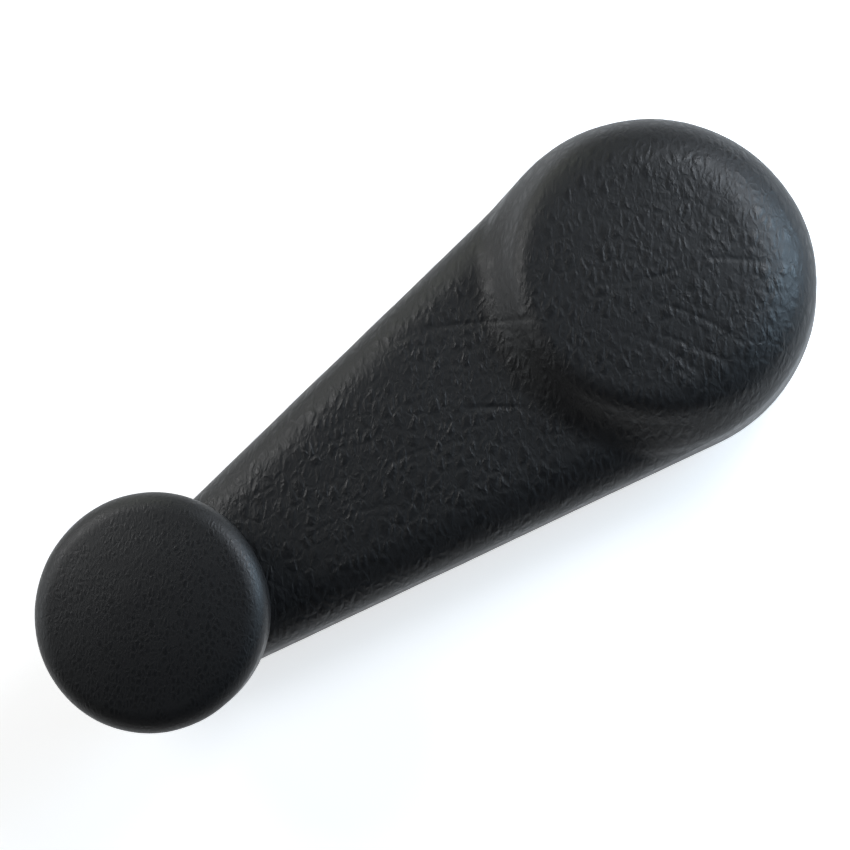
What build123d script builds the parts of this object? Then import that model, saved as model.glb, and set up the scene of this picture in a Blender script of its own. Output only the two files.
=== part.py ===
from build123d import *

import os
from math import asin, cos, radians, sin, sqrt, tan

# Window winder handle, in millimetres.
# Origin: on the spindle axis, at the mouth of the hub's bore.
# +Z points from the door to the user, and +X from the hub to the knob.

# Plan of the handle
HUB_RADIUS = 24.8
TIP_RADIUS = 11.0
REACH = 85.0

# Heights of the handle's outer form
ARM_REAR = 5.0
ARM_TOP = 16.0
DOME_TOP = 21.0
ARM_EDGE_RADIUS = 4.5
DOME_EDGE_RADIUS = 6.3
REAR_EDGE_RADIUS = 2.5
DOME_CROWN = 0.8

# Step from the dome down to the arm: a blunt cone about an axis just behind the hub's
STEP_REACH = 15.2
STEP_RISE = 0.3
STEP_SHIFT = 3.5
STEP_EDGE_RADIUS = 4.5
STEP_SLOPE = 46.0

# Walls, from the outside in
SKIN = 1.5
CARRIER_WALL = 1.8
LIP_INSET = 4.0
LIP_HEIGHT = 1.5

# Foam pad in the dome
PAD_RADIUS = 14.5
PAD_HEIGHT = 1.5
PAD_SEAT_WALL = 1.8

# Cross ribs under the carrier's arm
RIB_PLACES = (28.0, 40.0, 52.0, 69.0)
RIB_WIDTH = 1.2
RIB_HALF_SPAN = 7.5

# Rear cover and its screws
COVER_GAP = 0.1
COVER_REAR = 5.2
COVER_TOP = 7.0
COVER_WEB = 1.3
COVER_RIM = 1.5
COVER_EDGE_RADIUS = 0.5
BOSS_GAP = 0.2
POST_RADIUS = 2.6
SCREW_RADIUS = 1.25
SCREW_HEAD_RADIUS = 2.3
SCREW_LENGTH = 7.0
SCREW_TIP = 1.2
SCREW_TIP_RADIUS = 0.4
RECESS_LENGTH = 2.4
RECESS_WIDTH = 0.5
RECESS_DEPTH = 0.8
HUB_SCREW_CIRCLE = 18.3
HUB_SCREW_ANGLES = (115, 245)
ARM_SCREW_X = 60.0

# Hub insert
BOSS_RADIUS = 9.5
BOSS_CHAMFER = 0.3
PILOT_RADIUS = 5.2
PILOT_DEPTH = 3.0
SPLINE_TIP_RADIUS = 4.5
SPLINE_ROOT_RADIUS = 5.0
SPLINE_TEETH = 24
BORE_END = 14.5
SPIGOT_RADIUS = 8.0
SPIGOT_TOP = 16.0
FLANGE_RADIUS = 14.5
FLANGE_REAR = 7.2
WASHER_GROOVE_RADIUS = 9.0
WASHER_GROOVE = (0.6, 2.4)

# Steel arm
CORE_REAR = 9.0
CORE_TOP = 11.5
CORE_HUB_RADIUS = 15.5
CORE_TIP_RADIUS = 7.2
CORE_SIDE = 1.8
CORE_SIDE_REAR = 7.4
CORE_SIDE_SPAN = (20.0, 74.0)
CORE_SLOT_SPAN = (22.0, 50.0)
CORE_SLOT_WIDTH = 8.0
RIVET_CIRCLE = 11.8
RIVET_ANGLES = (60, 180, 300)
RIVET_RADIUS = 1.5
RIVET_HEAD_RADIUS = 2.7
RIVET_HEAD_HEIGHT = 1.3
RIVET_EDGE = 0.6

# Knob stud and the parts stacked on it
STUD_TAIL_RADIUS = 3.0
STUD_PEEN_RADIUS = 4.2
STUD_PEEN_HEIGHT = 1.0
STUD_COLLAR_RADIUS = 5.5
STUD_COLLAR_TOP = 16.2
JOURNAL_RADIUS = 4.0
JOURNAL_TOP = 23.3
STUD_NECK_RADIUS = 3.0
STUD_TOP = 24.7
STUD_CHAMFER = 0.4
THRUST_WASHER_RADIUS = 7.5
THRUST_WASHER_THICKNESS = 0.5
SPRING_WASHER_RADIUS = 7.0
SPRING_WASHER_STOCK = 0.3
SPRING_WASHER_RISE = 0.25
SPRING_WASHER_GAP = 0.2
END_WASHER_RADIUS = 7.0
END_WASHER_THICKNESS = 0.5
PUSH_NUT_RADIUS = 5.4
PUSH_NUT_STOCK = 0.35
PUSH_NUT_RISE = 0.35
PUSH_NUT_BRIM = 1.0
PUSH_NUT_SLIT_WIDTH = 0.6
PUSH_NUT_SLITS = 4

# Knob
KNOB_RADIUS = 17.3
KNOB_FOOT_RADIUS = 16.1
KNOB_FOOT = 16.6
KNOB_TOP = 27.5
KNOB_CROWN = 1.0
KNOB_EDGE_RADIUS = 2.0
CAP_WALL = 1.5
CAP_LIP_HEIGHT = 0.6
CAP_LIP_RADIUS = 13.4
RUNNING_GAP = 0.05
BUSH_RADIUS = 5.8
BUSH_FLANGE_RADIUS = 7.5
BUSH_FLANGE = (17.3, 18.3)
BUSH_TOP = 23.15
KNOB_BOSS_RADIUS = 9.5
KNOB_POCKET_RADIUS = 8.3
KNOB_WALL = 1.9
KNOB_WEB_REAR = 22.0
KNOB_RIBS = 6
KNOB_RIB_WIDTH = 1.2

# Retaining clip, flat spring steel in two slots across the boss
CLIP_REAR = 3.3
CLIP_THICKNESS = 1.0
CLIP_STRIP = 1.7
CLIP_LEG_INNER = 4.0
CLIP_BOW_X = 9.9
CLIP_TIP_X = -8.4
CLIP_HOOK = 2.0
CLIP_HOOK_RISE = 0.5
SLOT_GAP = 0.15
SLOT_INNER = 3.3
SLOT_OUTER = 6.4

# Trim washer
TRIM_RADIUS = 21.0
TRIM_RIM_WIDTH = 2.0
TRIM_REAR = -0.4
TRIM_WEB = (0.9, 2.1)
TRIM_BORE_RADIUS = 9.3
TRIM_COLLAR_STEP = 0.6
TRIM_COLLAR_RADIUS = 11.5
TRIM_COLLAR_REAR = 0.1
TRIM_RIB_WIDTH = 1.0
TRIM_RIBS = 12
TRIM_EDGE_RADIUS = 0.6

# Clearance round the stud and the arm's screw post
HOLE_GAP = 0.2

# How far a rib, a post or a slot runs on past the wall that ends it
OVERRUN = 1.0

# Search margin for picking edges
SMALL = 0.01


def write(name, *solids):
    """Writes one node's STEP: a single solid, or a group of separate ones."""
    shape = solids[0] if len(solids) == 1 else Compound(list(solids))
    shape.label = name
    export_step(shape, f"parts/{name}.step")


def rod(radius, low, high, x=0.0, y=0.0):
    """An upright cylinder between two heights."""
    return Pos(x, y, low) * extrude(Circle(radius), high - low)


def ring(inner, outer, low, high, x=0.0, y=0.0):
    """An upright tube between two heights."""
    return Pos(x, y, low) * extrude(Circle(outer) - Circle(inner), high - low)


def slab(x_low, x_high, y_low, y_high, low, high):
    """A block between two opposite corners."""
    block = Box(x_high - x_low, y_high - y_low, high - low, align=(Align.MIN, Align.MIN, Align.MIN))
    return Pos(x_low, y_low, low) * block


def spun(points, x=0.0):
    """A solid of revolution about the upright axis at x, from (radius, height) points."""
    face = make_face(Polyline(*[(r, 0, z) for r, z in points], close=True))
    return Pos(x, 0, 0) * revolve(face, Axis.Z)


def on_circle(radius, angle):
    """The point of a circle about the hub axis at an angle in degrees."""
    return radius * cos(radians(angle)), radius * sin(radians(angle))


def tapered(hub_radius, tip_radius, low, high):
    """A slab whose outline is two arcs, about the hub and the knob axis, joined by tangents."""
    lean = asin((hub_radius - tip_radius) / REACH)
    hub_x, hub_y = hub_radius * sin(lean), hub_radius * cos(lean)
    tip_x, tip_y = REACH + tip_radius * sin(lean), tip_radius * cos(lean)
    outline = [
        ThreePointArc((hub_x, hub_y), (-hub_radius, 0), (hub_x, -hub_y)),
        Line((hub_x, -hub_y), (tip_x, -tip_y)),
        ThreePointArc((tip_x, -tip_y), (REACH + tip_radius, 0), (tip_x, tip_y)),
        Line((tip_x, tip_y), (hub_x, hub_y)),
    ]
    return Pos(0, 0, low) * extrude(make_face(outline), high - low)


def edges_at(solid, height):
    """The edges that lie wholly at one height."""
    return solid.edges().filter_by_position(Axis.Z, height - SMALL, height + SMALL)


def dome(inset, floor):
    """The hub's dome drawn in by a distance: a slightly crowned top and a rounded edge."""
    ball = (HUB_RADIUS**2 + DOME_CROWN**2) / (2 * DOME_CROWN)
    ball_z = DOME_TOP - ball
    edge_r = HUB_RADIUS - DOME_EDGE_RADIUS
    edge_z = ball_z + sqrt((ball - DOME_EDGE_RADIUS) ** 2 - edge_r**2)
    edge = DOME_EDGE_RADIUS - inset
    lean = asin(edge_r / (ball - DOME_EDGE_RADIUS))
    half = (lean + radians(90)) / 2
    crown_half = lean / 2
    crown_end = (edge_r + edge * sin(lean), 0, edge_z + edge * cos(lean))
    crown_middle = ((ball - inset) * sin(crown_half), 0, ball_z + (ball - inset) * cos(crown_half))
    edge_middle = (edge_r + edge * sin(half), 0, edge_z + edge * cos(half))
    side = (edge_r + edge, 0, edge_z)
    outline = [
        ThreePointArc((0, 0, DOME_TOP - inset), crown_middle, crown_end),
        ThreePointArc(crown_end, edge_middle, side),
        Polyline(side, (side[0], 0, floor), (0, 0, floor), (0, 0, DOME_TOP - inset)),
    ]
    return revolve(make_face(outline), Axis.Z)


def step_cone(inset, floor):
    """The blunt cone that gives the dome its gentle step above the arm, drawn in by a distance."""
    radius = STEP_REACH + STEP_SHIFT
    bend = STEP_EDGE_RADIUS - inset
    bend_z = DOME_TOP + STEP_RISE - STEP_EDGE_RADIUS
    slope = radians(STEP_SLOPE)
    start = (radius, 0, bend_z + bend)
    middle = (radius + bend * sin(slope / 2), 0, bend_z + bend * cos(slope / 2))
    end = (radius + bend * sin(slope), 0, bend_z + bend * cos(slope))
    run = (end[2] - floor) / tan(slope)
    outline = [
        ThreePointArc(start, middle, end),
        Polyline(end, (end[0] + run, 0, floor), (0, 0, floor), (0, 0, start[2]), start),
    ]
    return Pos(-STEP_SHIFT, 0, 0) * revolve(make_face(outline), Axis.Z)


def handle_form(inset, floor):
    """The arm and the dome, drawn in by one distance all over, standing on a floor height."""
    arm_top = ARM_TOP - inset
    arm = tapered(HUB_RADIUS - inset, TIP_RADIUS - inset, floor, arm_top)
    arm = fillet(edges_at(arm, arm_top), ARM_EDGE_RADIUS - inset)
    return arm + (dome(inset, floor) & step_cone(inset, floor))


def screw_places():
    """The centres of the rear cover's screws."""
    hub = [on_circle(HUB_SCREW_CIRCLE, angle) for angle in HUB_SCREW_ANGLES]
    return hub + [(ARM_SCREW_X, 0.0)]


def rivet_places():
    """The centres of the hub rivets."""
    return [on_circle(RIVET_CIRCLE, angle) for angle in RIVET_ANGLES]


def grip_cover():
    """The soft skin: outer form, hollow, with a lip turned in under the carrier."""
    outer = handle_form(0.0, ARM_REAR)
    outer = fillet(edges_at(outer, ARM_REAR), REAR_EDGE_RADIUS)
    hollow = handle_form(SKIN, ARM_REAR + LIP_HEIGHT)
    mouth = tapered(HUB_RADIUS - LIP_INSET, TIP_RADIUS - LIP_INSET, 0, ARM_REAR + LIP_HEIGHT)
    stud_hole = rod(STUD_COLLAR_RADIUS + HOLE_GAP, 0, ARM_TOP, REACH)
    return outer - hollow - mouth - stud_hole


def dome_pad():
    """The foam disc that lies in the carrier's pocket, crowned like the skin over it."""
    top = DOME_TOP - SKIN
    return rod(PAD_RADIUS, top - PAD_HEIGHT, top) & dome(SKIN, ARM_REAR)


def cover_carrier():
    """The stiff shell inside the skin, with the pad's pocket, the screw posts and cross ribs."""
    floor = ARM_REAR + LIP_HEIGHT
    inner = SKIN + CARRIER_WALL
    ceiling = ARM_TOP - inner
    pad_top = DOME_TOP - SKIN
    pad_seat = pad_top - PAD_HEIGHT
    shell = handle_form(SKIN, floor) - handle_form(inner, floor)
    shell += rod(PAD_RADIUS + PAD_SEAT_WALL, pad_seat - PAD_SEAT_WALL, pad_seat)
    for x, y in screw_places():
        shell += rod(POST_RADIUS, COVER_TOP, pad_seat if x < 0 else ceiling + OVERRUN, x, y)
    for x in RIB_PLACES:
        half = RIB_WIDTH / 2
        shell += slab(x - half, x + half, -RIB_HALF_SPAN, RIB_HALF_SPAN, CORE_TOP, ceiling + OVERRUN)
    shell -= rod(PAD_RADIUS, pad_seat, pad_top)
    for x, y in screw_places():
        shell -= rod(SCREW_RADIUS, COVER_REAR, COVER_REAR + SCREW_LENGTH, x, y)
    return shell - rod(STUD_COLLAR_RADIUS + HOLE_GAP, 0, ARM_TOP, REACH)


def screw_head_outline(gap):
    """A screw's countersunk head, grown by a gap, as (radius, height) points."""
    depth = SCREW_HEAD_RADIUS - SCREW_RADIUS
    return [
        (0, COVER_REAR),
        (SCREW_HEAD_RADIUS + gap, COVER_REAR),
        (SCREW_RADIUS + gap, COVER_REAR + depth),
        (0, COVER_REAR + depth),
    ]


def back_cover():
    """The plate that closes the rear, with a rim that stiffens it and three screw holes."""
    inset = LIP_INSET + COVER_GAP
    hub_radius, tip_radius = HUB_RADIUS - inset, TIP_RADIUS - inset
    plate = tapered(hub_radius, tip_radius, COVER_REAR, COVER_TOP)
    plate = fillet(edges_at(plate, COVER_REAR), COVER_EDGE_RADIUS)
    hollow = tapered(
        hub_radius - COVER_RIM, tip_radius - COVER_RIM, COVER_REAR + COVER_WEB, COVER_TOP
    )
    for x, y in screw_places():
        hollow -= rod(POST_RADIUS, COVER_REAR, COVER_TOP, x, y)
    plate -= hollow
    plate -= rod(BOSS_RADIUS + BOSS_GAP, 0, COVER_TOP)
    for x, y in screw_places():
        plate -= rod(SCREW_RADIUS + COVER_GAP, 0, COVER_TOP, x, y)
        plate -= Pos(x, y, 0) * spun(screw_head_outline(COVER_GAP))
    return plate


def back_cover_screws():
    """Three countersunk screws with a cross recess."""
    screw = spun(screw_head_outline(0.0))
    screw += rod(SCREW_RADIUS, COVER_REAR, COVER_REAR + SCREW_LENGTH - SCREW_TIP)
    screw += Pos(0, 0, COVER_REAR + SCREW_LENGTH - SCREW_TIP) * Cone(
        SCREW_RADIUS, SCREW_TIP_RADIUS, SCREW_TIP, align=(Align.CENTER, Align.CENTER, Align.MIN)
    )
    long, half = RECESS_LENGTH / 2, RECESS_WIDTH / 2
    for along, across in ((long, half), (half, long)):
        screw -= slab(-along, along, -across, across, COVER_REAR, COVER_REAR + RECESS_DEPTH)
    return [Pos(x, y, 0) * screw for x, y in screw_places()]


def clip_slots():
    """The two slots across the boss that the clip's legs slide in."""
    low, high = CLIP_REAR - SLOT_GAP, CLIP_REAR + CLIP_THICKNESS + SLOT_GAP
    reach = BOSS_RADIUS + OVERRUN
    upper = slab(-reach, reach, SLOT_INNER, SLOT_OUTER, low, high)
    lower = slab(-reach, reach, -SLOT_OUTER, -SLOT_INNER, low, high)
    return upper + lower


def serrated_bore():
    """The space of the spindle's serrations: a ring of V-shaped teeth about the hub axis."""
    count = 2 * SPLINE_TEETH
    radii = (SPLINE_ROOT_RADIUS, SPLINE_TIP_RADIUS)
    corners = [on_circle(radii[turn % 2], 360 * turn / count) for turn in range(count)]
    outline = make_face(Polyline(*corners, close=True))
    return Pos(0, 0, PILOT_DEPTH) * extrude(outline, BORE_END - PILOT_DEPTH)


def hub_insert():
    """The cast hub: boss, flange under the steel arm, spigot through it, and the blind bore."""
    groove_low, groove_high = WASHER_GROOVE
    hub = spun(
        [
            (0, 0),
            (BOSS_RADIUS - BOSS_CHAMFER, 0),
            (BOSS_RADIUS, BOSS_CHAMFER),
            (BOSS_RADIUS, groove_low),
            (WASHER_GROOVE_RADIUS, groove_low),
            (WASHER_GROOVE_RADIUS, groove_high),
            (BOSS_RADIUS, groove_high),
            (BOSS_RADIUS, FLANGE_REAR),
            (FLANGE_RADIUS, FLANGE_REAR),
            (FLANGE_RADIUS, CORE_REAR),
            (SPIGOT_RADIUS, CORE_REAR),
            (SPIGOT_RADIUS, SPIGOT_TOP),
            (0, SPIGOT_TOP),
        ]
    )
    hub -= rod(PILOT_RADIUS, 0, PILOT_DEPTH) + serrated_bore() + clip_slots()
    for x, y in rivet_places():
        hub -= Pos(x, y, 0) * rivet()
    return hub


def rivet():
    """A rivet, flush below the hub's flange and domed on top of the steel arm."""
    sink = RIVET_HEAD_RADIUS - RIVET_RADIUS
    return spun(
        [
            (0, FLANGE_REAR),
            (RIVET_HEAD_RADIUS, FLANGE_REAR),
            (RIVET_RADIUS, FLANGE_REAR + sink),
            (RIVET_RADIUS, CORE_TOP),
            (RIVET_HEAD_RADIUS, CORE_TOP),
            (RIVET_HEAD_RADIUS - RIVET_EDGE / 2, CORE_TOP + RIVET_HEAD_HEIGHT - RIVET_EDGE),
            (RIVET_RADIUS, CORE_TOP + RIVET_HEAD_HEIGHT),
            (0, CORE_TOP + RIVET_HEAD_HEIGHT),
        ]
    )


def hub_rivets():
    """Three rivets about the hub axis."""
    return [Pos(x, y, 0) * rivet() for x, y in rivet_places()]


def arm_core():
    """The pressed steel arm: a tapered plate with turned-down sides and a lightening slot."""
    core = tapered(CORE_HUB_RADIUS, CORE_TIP_RADIUS, CORE_REAR, CORE_TOP)
    sides = tapered(CORE_HUB_RADIUS, CORE_TIP_RADIUS, CORE_SIDE_REAR, CORE_REAR)
    sides -= tapered(
        CORE_HUB_RADIUS - CORE_SIDE, CORE_TIP_RADIUS - CORE_SIDE, CORE_SIDE_REAR, CORE_REAR
    )
    start, end = CORE_SIDE_SPAN
    sides &= slab(start, end, -HUB_RADIUS, HUB_RADIUS, 0, DOME_TOP)
    core += sides
    slot_start, slot_end = CORE_SLOT_SPAN
    slot = SlotOverall(slot_end - slot_start, CORE_SLOT_WIDTH)
    middle = (slot_start + slot_end) / 2
    core -= Pos(middle, 0, CORE_REAR) * extrude(slot, CORE_TOP - CORE_REAR)
    core -= rod(SPIGOT_RADIUS, 0, CORE_TOP)
    core -= rod(STUD_TAIL_RADIUS, 0, CORE_TOP, REACH)
    core -= rod(POST_RADIUS + HOLE_GAP, 0, CORE_TOP, ARM_SCREW_X)
    for x, y in rivet_places():
        core -= rod(RIVET_RADIUS, 0, CORE_TOP, x, y)
    return core


def knob_stud():
    """The shouldered pin: peened tail, tail, collar, journal and neck, from the rear up."""
    peen_rear = CORE_REAR - STUD_PEEN_HEIGHT
    return spun(
        [
            (0, peen_rear),
            (STUD_TAIL_RADIUS, peen_rear),
            (STUD_PEEN_RADIUS, peen_rear + STUD_PEEN_HEIGHT / 2),
            (STUD_PEEN_RADIUS, CORE_REAR),
            (STUD_TAIL_RADIUS, CORE_REAR),
            (STUD_TAIL_RADIUS, CORE_TOP),
            (STUD_COLLAR_RADIUS, CORE_TOP),
            (STUD_COLLAR_RADIUS, STUD_COLLAR_TOP),
            (JOURNAL_RADIUS, STUD_COLLAR_TOP),
            (JOURNAL_RADIUS, JOURNAL_TOP),
            (STUD_NECK_RADIUS, JOURNAL_TOP),
            (STUD_NECK_RADIUS, STUD_TOP - STUD_CHAMFER),
            (STUD_NECK_RADIUS - STUD_CHAMFER, STUD_TOP),
            (0, STUD_TOP),
        ],
        REACH,
    )


def thrust_washer():
    """The flat washer on the stud's collar."""
    top = STUD_COLLAR_TOP + THRUST_WASHER_THICKNESS
    return ring(JOURNAL_RADIUS, THRUST_WASHER_RADIUS, STUD_COLLAR_TOP, top, REACH)


def spring_washer():
    """The cone spring washer between the thrust washer and the bush."""
    low = STUD_COLLAR_TOP + THRUST_WASHER_THICKNESS
    inner = JOURNAL_RADIUS + SPRING_WASHER_GAP
    return spun(
        [
            (inner, low + SPRING_WASHER_RISE),
            (SPRING_WASHER_RADIUS, low),
            (SPRING_WASHER_RADIUS, low + SPRING_WASHER_STOCK),
            (inner, low + SPRING_WASHER_RISE + SPRING_WASHER_STOCK),
        ],
        REACH,
    )


def end_washer():
    """The flat washer on the journal's shoulder, over the bush."""
    top = JOURNAL_TOP + END_WASHER_THICKNESS
    return ring(STUD_NECK_RADIUS, END_WASHER_RADIUS, JOURNAL_TOP, top, REACH)


def push_nut():
    """The dished push-on nut with slits that let its teeth spread on the stud's neck."""
    low = JOURNAL_TOP + END_WASHER_THICKNESS
    nut = spun(
        [
            (STUD_NECK_RADIUS, low + PUSH_NUT_RISE),
            (PUSH_NUT_RADIUS - PUSH_NUT_BRIM, low),
            (PUSH_NUT_RADIUS, low),
            (PUSH_NUT_RADIUS, low + PUSH_NUT_STOCK),
            (PUSH_NUT_RADIUS - PUSH_NUT_BRIM, low + PUSH_NUT_STOCK),
            (STUD_NECK_RADIUS, low + PUSH_NUT_RISE + PUSH_NUT_STOCK),
        ],
        REACH,
    )
    half = PUSH_NUT_SLIT_WIDTH / 2
    for turn in range(PUSH_NUT_SLITS):
        slit = slab(0, PUSH_NUT_RADIUS - PUSH_NUT_BRIM, -half, half, low, STUD_TOP)
        nut -= Pos(REACH, 0, 0) * Rot(0, 0, 360 * turn / PUSH_NUT_SLITS) * slit
    return nut


def knob_bush():
    """The flanged plastic bush that turns on the stud's journal."""
    flange_low, flange_high = BUSH_FLANGE
    bush = rod(BUSH_FLANGE_RADIUS, flange_low, flange_high, REACH)
    bush += rod(BUSH_RADIUS, flange_high, BUSH_TOP, REACH)
    return bush - rod(JOURNAL_RADIUS + RUNNING_GAP, 0, BUSH_TOP, REACH)


def knob_body():
    """The stiff moulding in the knob: outer wall, web, boss for the bush, and ribs below."""
    foot = KNOB_FOOT + CAP_LIP_HEIGHT
    top = KNOB_TOP - KNOB_CROWN - CAP_WALL
    wall_foot, wall_top = KNOB_FOOT_RADIUS - CAP_WALL, KNOB_RADIUS - CAP_WALL
    body = spun([(0, foot), (wall_foot, foot), (wall_top, top), (0, top)], REACH)
    inner_foot, inner_top = wall_foot - KNOB_WALL, wall_top - KNOB_WALL
    hollow = spun(
        [(0, foot), (inner_foot, foot), (inner_top, KNOB_WEB_REAR), (0, KNOB_WEB_REAR)], REACH
    )
    hollow -= rod(KNOB_BOSS_RADIUS, 0, KNOB_WEB_REAR, REACH)
    half = KNOB_RIB_WIDTH / 2
    for turn in range(KNOB_RIBS):
        rib = slab(0, KNOB_RADIUS, -half, half, foot + CAP_LIP_HEIGHT, KNOB_WEB_REAR)
        hollow -= Pos(REACH, 0, 0) * Rot(0, 0, 360 * turn / KNOB_RIBS) * rib
    body -= hollow
    body -= rod(KNOB_POCKET_RADIUS, BUSH_TOP, top, REACH)
    body -= rod(BUSH_FLANGE_RADIUS, 0, BUSH_FLANGE[1], REACH)
    return body - rod(BUSH_RADIUS, 0, BUSH_TOP, REACH)


def knob_cap():
    """The soft cap over the knob's face and side, with a lip turned in under the body."""
    face_radius = KNOB_RADIUS - KNOB_EDGE_RADIUS
    edge_top = KNOB_TOP - KNOB_CROWN
    edge_foot = edge_top - KNOB_EDGE_RADIUS
    bend = KNOB_EDGE_RADIUS * sqrt(0.5)
    crown_radius = (face_radius**2 + KNOB_CROWN**2) / (2 * KNOB_CROWN)
    half_turn = asin(face_radius / crown_radius) / 2
    crown_drop = crown_radius * (1 - cos(half_turn))
    outline = [
        Polyline(
            (0, 0, KNOB_TOP),
            (0, 0, KNOB_FOOT),
            (KNOB_FOOT_RADIUS, 0, KNOB_FOOT),
            (KNOB_RADIUS, 0, edge_foot),
        ),
        ThreePointArc(
            (KNOB_RADIUS, 0, edge_foot),
            (face_radius + bend, 0, edge_foot + bend),
            (face_radius, 0, edge_top),
        ),
        ThreePointArc(
            (face_radius, 0, edge_top),
            (crown_radius * sin(half_turn), 0, KNOB_TOP - crown_drop),
            (0, 0, KNOB_TOP),
        ),
    ]
    cap = Pos(REACH, 0, 0) * revolve(make_face(outline), Axis.Z)
    foot = KNOB_FOOT + CAP_LIP_HEIGHT
    top = edge_top - CAP_WALL
    cap -= spun(
        [(0, foot), (KNOB_FOOT_RADIUS - CAP_WALL, foot), (KNOB_RADIUS - CAP_WALL, top), (0, top)],
        REACH,
    )
    return cap - rod(CAP_LIP_RADIUS, 0, foot, REACH)


def retaining_clip():
    """The horseshoe clip: two legs in the hub's slots, flared at their tips, joined by a bow."""
    inner, outer = CLIP_LEG_INNER, CLIP_LEG_INNER + CLIP_STRIP
    start, end = CLIP_TIP_X, CLIP_BOW_X
    legs = Rectangle(end - start, 2 * outer, align=(Align.MIN, Align.CENTER))
    legs -= Rectangle(end - start, 2 * inner, align=(Align.MIN, Align.CENTER))
    bow = Circle(outer) - Circle(inner)
    bow &= Rectangle(outer, 2 * outer, align=(Align.MIN, Align.CENTER))
    outline = Pos(start, 0) * legs + Pos(end, 0) * bow
    for side in (1, -1):
        tip = Polyline(
            (start, side * inner),
            (start + CLIP_HOOK, side * inner),
            (start + CLIP_HOOK / 2, side * (inner - CLIP_HOOK_RISE)),
            close=True,
        )
        outline += make_face(tip)
    return Pos(0, 0, CLIP_REAR) * extrude(outline, CLIP_THICKNESS)


def trim_washer():
    """The washer against the door trim: a web held in the boss's groove, a rim and ribs."""
    web_low, web_high = TRIM_WEB
    washer = ring(TRIM_BORE_RADIUS, TRIM_RADIUS, web_low, web_high)
    rim_inner = TRIM_RADIUS - TRIM_RIM_WIDTH
    washer += ring(rim_inner, TRIM_RADIUS, TRIM_REAR, web_low)
    washer += ring(TRIM_BORE_RADIUS + TRIM_COLLAR_STEP, TRIM_COLLAR_RADIUS, TRIM_COLLAR_REAR, web_low)
    half = root = TRIM_RIB_WIDTH / 2
    for turn in range(TRIM_RIBS):
        rib = slab(TRIM_COLLAR_RADIUS - root, rim_inner + root, -half, half, TRIM_COLLAR_REAR, web_low)
        washer += Rot(0, 0, 360 * turn / TRIM_RIBS) * rib
    rim_edges = edges_at(washer, TRIM_REAR) + edges_at(washer, web_high)
    rim_edges = [edge for edge in rim_edges if edge.radius == TRIM_RADIUS]
    return fillet(rim_edges, TRIM_EDGE_RADIUS)


def main():
    os.makedirs("parts", exist_ok=True)
    write("grip_cover", grip_cover())
    write("dome_pad", dome_pad())
    write("cover_carrier", cover_carrier())
    write("back_cover", back_cover())
    write("back_cover_screws", *back_cover_screws())
    write("hub_insert", hub_insert())
    write("hub_rivets", *hub_rivets())
    write("arm_core", arm_core())
    write("knob_stud", knob_stud())
    write("thrust_washer", thrust_washer())
    write("spring_washer", spring_washer())
    write("end_washer", end_washer())
    write("push_nut", push_nut())
    write("knob_bush", knob_bush())
    write("knob_body", knob_body())
    write("knob_cap", knob_cap())
    write("retaining_clip", retaining_clip())
    write("trim_washer", trim_washer())


main()
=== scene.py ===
from math import asin, cos, pi, radians, sin, tan

import bmesh
import bpy
import numpy as np
from mathutils import Matrix, Vector
from mathutils.bvhtree import BVHTree

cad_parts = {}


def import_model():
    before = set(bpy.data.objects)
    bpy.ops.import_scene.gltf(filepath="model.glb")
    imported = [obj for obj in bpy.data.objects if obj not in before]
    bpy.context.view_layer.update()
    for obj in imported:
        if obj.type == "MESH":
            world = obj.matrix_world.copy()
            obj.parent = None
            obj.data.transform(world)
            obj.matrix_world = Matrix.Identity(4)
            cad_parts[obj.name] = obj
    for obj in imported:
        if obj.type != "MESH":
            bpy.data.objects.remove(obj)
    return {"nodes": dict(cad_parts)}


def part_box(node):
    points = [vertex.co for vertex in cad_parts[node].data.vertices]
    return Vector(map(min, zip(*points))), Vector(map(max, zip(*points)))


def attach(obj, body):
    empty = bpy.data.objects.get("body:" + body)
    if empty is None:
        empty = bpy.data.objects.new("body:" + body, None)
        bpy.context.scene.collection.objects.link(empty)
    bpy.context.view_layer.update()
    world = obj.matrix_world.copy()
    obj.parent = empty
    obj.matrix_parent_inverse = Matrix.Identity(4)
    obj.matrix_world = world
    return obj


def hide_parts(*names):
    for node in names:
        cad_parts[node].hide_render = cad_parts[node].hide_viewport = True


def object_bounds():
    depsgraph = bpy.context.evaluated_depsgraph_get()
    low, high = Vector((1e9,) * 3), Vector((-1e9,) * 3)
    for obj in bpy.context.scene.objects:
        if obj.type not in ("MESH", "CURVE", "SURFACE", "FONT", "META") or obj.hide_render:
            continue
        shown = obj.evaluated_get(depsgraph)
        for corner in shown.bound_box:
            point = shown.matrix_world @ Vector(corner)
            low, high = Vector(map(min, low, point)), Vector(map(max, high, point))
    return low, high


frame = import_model()
cad_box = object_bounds()

# Shapes are in millimetres and materials, the floor and the lights in metres
MM = 0.001
DOWN = Vector((0, 0, -1))

# The handle's plan and heights, from the frame. The straight sides leave the hub and the tip
# at HUB_ARC on either side of +X.
cover_low, cover_high = (np.array(corner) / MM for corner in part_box("grip_cover"))
knob_low, knob_high = (np.array(corner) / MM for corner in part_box("knob_cap"))
HUB_RADIUS = -cover_low[0]
REACH = (knob_low[0] + knob_high[0]) / 2
TIP_RADIUS = cover_high[0] - REACH
KNOB_RADIUS = (knob_high[0] - knob_low[0]) / 2
KNOB_FOOT = knob_low[2]
KNOB_TOP = knob_high[2]
REAR = cover_low[2]
DOME_TOP = cover_high[2]
HUB_ARC = pi / 2 - asin((HUB_RADIUS - TIP_RADIUS) / REACH)

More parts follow.
